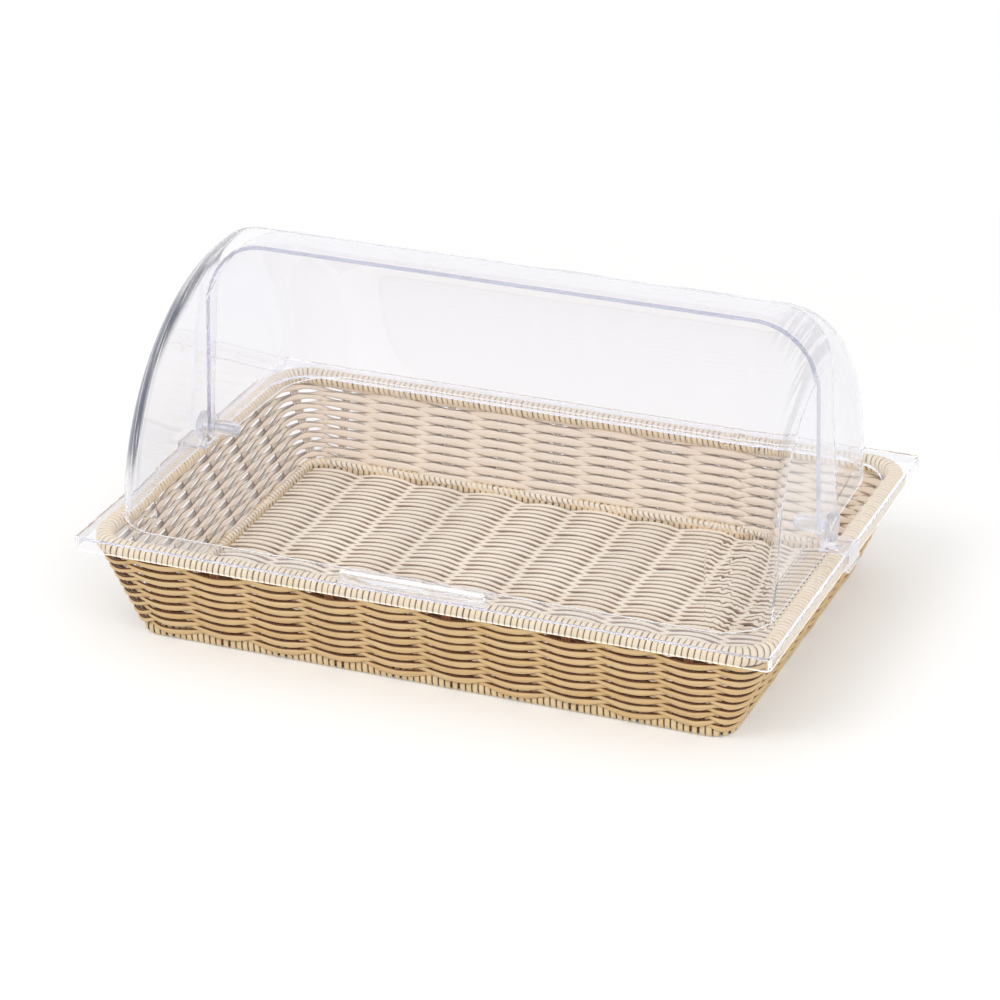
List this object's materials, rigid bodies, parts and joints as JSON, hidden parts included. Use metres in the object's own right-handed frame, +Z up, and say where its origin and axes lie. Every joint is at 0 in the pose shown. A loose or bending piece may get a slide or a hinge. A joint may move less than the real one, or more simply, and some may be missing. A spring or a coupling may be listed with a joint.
{
  "type": "countertop bread display bin",
  "caption": "Woven tray basket with a clear lift-off frame and two clear roll-top covers that nest as they turn on one pivot line; a lip handle lifts the front cover.",
  "frame": {"origin": "centre of the basket's footprint, on the counter", "axes": "+X along the pivot line to the right, +Y to the rear (the handle is at -Y), +Z up"},
  "size_m": [0.55, 0.37, 0.268],
  "materials": {
    "woven_strand": "cream woven strand with a slightly waxy sheen, browner in the gaps",
    "hoop_wire": "plain drawn wire, hidden in the weave",
    "clear_plastic": "clear moulded plastic, polished",
    "cover_plastic": "clear thermoformed sheet with a faint lavender-grey cast, polished"
  },
  "bodies": {
    "basket": {"rim_wrap": "woven_strand", "rim_hoop": "hoop_wire", "base_border": "woven_strand", "base_hoop": "hoop_wire", "front_weave": "woven_strand", "back_weave": "woven_strand", "left_weave": "woven_strand", "right_weave": "woven_strand", "corner_weave": "woven_strand", "front_stakes": "hoop_wire", "back_stakes": "hoop_wire", "left_stakes": "hoop_wire", "right_stakes": "hoop_wire", "corner_stakes": "hoop_wire", "floor_weave": "woven_strand", "floor_stakes": "hoop_wire", "floor_edging": "woven_strand"},
    "frame": {"clear_frame": "clear_plastic", "locating_tabs": "clear_plastic", "pivot_bracket_left": "clear_plastic", "pivot_bracket_right": "clear_plastic", "pivot_pin_left": "clear_plastic", "pivot_pin_right": "clear_plastic", "pin_knob_left": "clear_plastic", "pin_knob_right": "clear_plastic"},
    "front_cover": {"front_cover": "cover_plastic", "front_handle": "clear_plastic"},
    "rear_cover": {"rear_cover": "cover_plastic"}
  },
  "joints": [
    {"name": "frame_lift", "type": "slide", "parent": "basket", "child": "frame", "axis": [0, 0, 1], "range_m": [0, 0.06]},
    {"name": "front_cover_hinge", "type": "hinge", "parent": "frame", "child": "front_cover", "pos_m": [0, 0.006, 0.1005], "axis": [-1, 0, 0], "range_deg": [0, 85]},
    {"name": "rear_cover_hinge", "type": "hinge", "parent": "frame", "child": "rear_cover", "pos_m": [0, 0.006, 0.1005], "axis": [1, 0, 0], "range_deg": [0, 85]}
  ]
}
